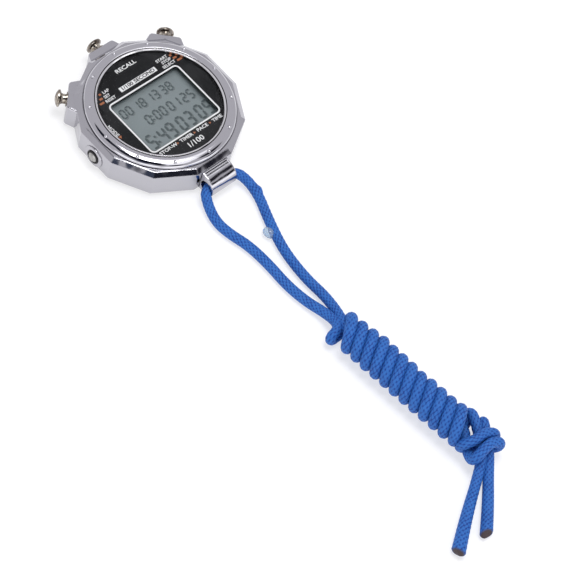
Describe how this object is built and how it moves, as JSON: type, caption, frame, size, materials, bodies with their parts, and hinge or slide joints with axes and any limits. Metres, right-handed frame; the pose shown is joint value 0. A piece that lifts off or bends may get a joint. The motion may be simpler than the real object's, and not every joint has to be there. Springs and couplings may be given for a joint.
{
  "type": "digital stopwatch",
  "caption": "Handheld digital stopwatch with a twelve-sided polished metal case, side push buttons, a liquid-crystal dial and a blue braided lanyard wound and knotted below its lug.",
  "frame": {"origin": "centre of the rear cover's outer face, on the dial's axis", "axes": "+Z out of the dial, +Y towards 12 o'clock and away from the lanyard, +X towards 3 o'clock"},
  "size_m": [0.0698, 0.2518, 0.0161],
  "materials": {
    "case_chrome": "polished",
    "button_nickel": "polished nickel",
    "crystal_glass": "clear, polished",
    "dial_plastic": "satin black, printed",
    "gasket_black": "matt",
    "lcd_cell": "grey-green display cell",
    "reflector_film": "satin film",
    "frame_plastic": "moulded",
    "board_laminate": "green solder mask",
    "epoxy_black": "potting",
    "elastomer": "soft",
    "steel": "brushed stainless",
    "spring_steel": "bright",
    "buzzer_brass": "bare",
    "cord_blue": "braided polyester"
  },
  "bodies": {
    "case": {"battery": "steel", "battery_clip": "spring_steel", "battery_contact": "spring_steel", "bezel_ring": "case_chrome", "board_screws": "steel", "bonded_chip": "epoxy_black", "buzzer_disc": "buzzer_brass", "buzzer_spring": "spring_steel", "circuit_board": "board_laminate", "cord_coil": "cord_blue", "cord_knot": "cord_blue", "cord_left_leg": "cord_blue", "cord_left_tail": "cord_blue", "cord_right_leg": "cord_blue", "cord_right_tail": "cord_blue", "cover_gasket": "gasket_black", "crystal": "crystal_glass", "crystal_gasket": "gasket_black", "dial_plate": "dial_plastic", "dial_trim_ring": "case_chrome", "front_case": "case_chrome", "lanyard_lug": "case_chrome", "lcd_panel": "lcd_cell", "lcd_reflector": "reflector_film", "mode_bush": "button_nickel", "mode_spring": "spring_steel", "mode_switch_leaf": "spring_steel", "movement_frame": "frame_plastic", "quartz_can": "steel", "rear_cover": "steel", "rear_cover_screws": "steel", "recall_pusher_bush": "button_nickel", "recall_spring": "spring_steel", "recall_switch_leaf": "spring_steel", "reset_pusher_bush": "button_nickel", "reset_spring": "spring_steel", "reset_switch_leaf": "spring_steel", "spacer_ring": "frame_plastic", "start_pusher_bush": "button_nickel", "start_spring": "spring_steel", "start_switch_leaf": "spring_steel", "zebra_strip_lower": "elastomer", "zebra_strip_upper": "elastomer"},
    "recall_button": {"recall_pusher": "button_nickel", "recall_clip": "spring_steel", "recall_seal": "gasket_black"},
    "start_button": {"start_pusher": "button_nickel", "start_clip": "spring_steel", "start_seal": "gasket_black"},
    "reset_button": {"reset_pusher": "button_nickel", "reset_clip": "spring_steel", "reset_seal": "gasket_black"},
    "mode_button": {"mode_button": "button_nickel", "mode_clip": "spring_steel"}
  },
  "joints": [
    {"name": "recall_press", "type": "slide", "parent": "case", "child": "recall_button", "axis": [0, -1, 0], "range_m": [0, 0.0012], "stiffness_N_per_m": 2400, "springref_m": -0.0005, "deforming": ["recall_spring"]},
    {"name": "start_press", "type": "slide", "parent": "case", "child": "start_button", "axis": [-0.7071, -0.7071, 0], "range_m": [0, 0.0012], "stiffness_N_per_m": 2400, "springref_m": -0.0005, "deforming": ["start_spring"]},
    {"name": "reset_press", "type": "slide", "parent": "case", "child": "reset_button", "axis": [0.7071, -0.7071, 0], "range_m": [0, 0.0012], "stiffness_N_per_m": 2400, "springref_m": -0.0005, "deforming": ["reset_spring"]},
    {"name": "mode_press", "type": "slide", "parent": "case", "child": "mode_button", "axis": [1, 0, 0], "range_m": [0, 0.0008], "stiffness_N_per_m": 2400, "springref_m": -0.0005, "deforming": ["mode_spring"]}
  ]
}
